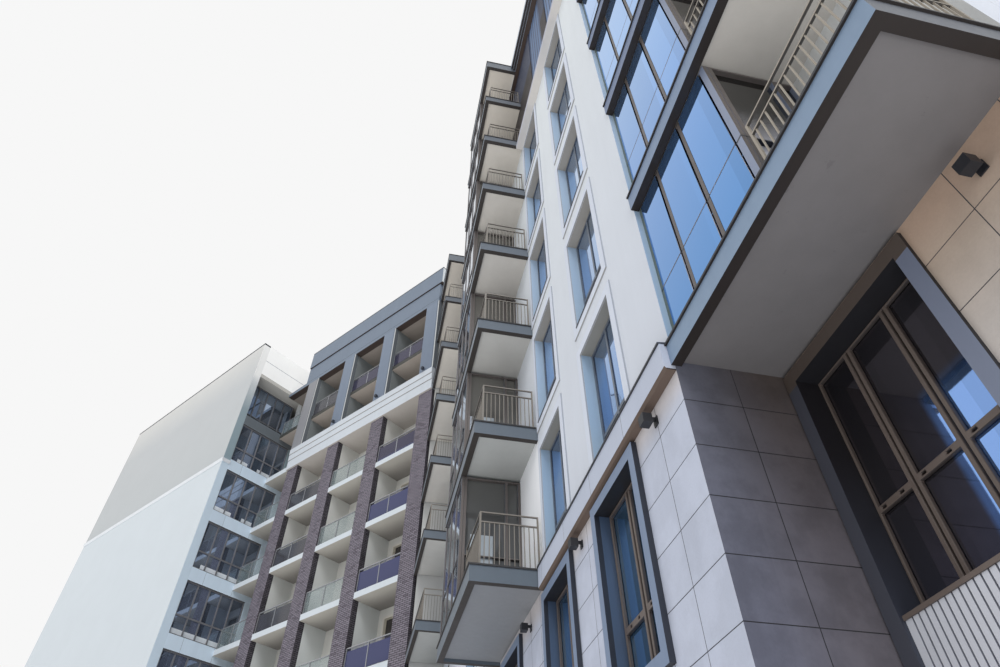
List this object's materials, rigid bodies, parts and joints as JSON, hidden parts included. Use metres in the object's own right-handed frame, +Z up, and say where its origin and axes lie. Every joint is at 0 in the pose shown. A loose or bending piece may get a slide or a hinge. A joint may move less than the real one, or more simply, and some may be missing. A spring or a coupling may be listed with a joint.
{
  "type": "apartment block, 1:2 scale model",
  "caption": "Apartment block with an angled plan: stone base, rendered storeys, projecting balcony stacks, brick piers, glazed loggias and a dark metal attic.",
  "frame": {"origin": "centre of the near wing's footprint, on the ground", "axes": "+X along the near front towards its free end, +Y from the street into the building, +Z up"},
  "size_m": [28.8304, 18.8774, 16.035],
  "materials": {
    "stone": "honed tiles with thin dark joints",
    "cream_render": "smooth render",
    "white_render": "smooth render",
    "brick": "dark fired brick",
    "concrete": "plain concrete",
    "grey_metal": "satin powder coat",
    "dark_metal": "satin powder coat",
    "white_metal": "satin powder coat",
    "bronze_metal": "satin powder coat",
    "glass": "clear float glass",
    "violet_glass": "tinted laminated glass"
  },
  "bodies": {
    "root": {"stone_base_bands": "stone", "stone_base_piers": "stone", "base_surrounds": "dark_metal", "ribbed_panel": "white_metal", "string_course": "stone", "drip_cap": "dark_metal", "cream_bands": "cream_render", "cream_piers": "cream_render", "return_walls": "cream_render", "window_surrounds": "cream_render", "cream_cornice": "cream_render", "attic_piers": "dark_metal", "near_floors": "concrete", "near_roof": "grey_metal", "wall_lamps": "dark_metal", "corner_balconies": "grey_metal", "stack_balconies": "grey_metal", "corner_railings": "bronze_metal", "stack_railings": "bronze_metal", "corner_enclosures": "bronze_metal", "stack_enclosures": "bronze_metal", "enclosure_glass": "glass", "brick_piers": "brick", "balcony_fins": "cream_render", "middle_balconies": "white_render", "middle_back_bands": "cream_render", "middle_back_piers": "cream_render", "white_band": "white_render", "attic_pilasters": "grey_metal", "attic_balconies": "grey_metal", "middle_roof": "grey_metal", "middle_railings": "violet_glass", "middle_floors": "concrete", "gable_wall": "white_render", "gable_band": "white_render", "left_spandrels": "white_render", "left_corner_piers": "white_render", "left_parapet": "white_render", "loggia_frames": "bronze_metal", "loggia_glass": "glass", "left_floors": "concrete", "window_frames": "bronze_metal", "window_glass": "glass"}
  },
  "joints": []
}
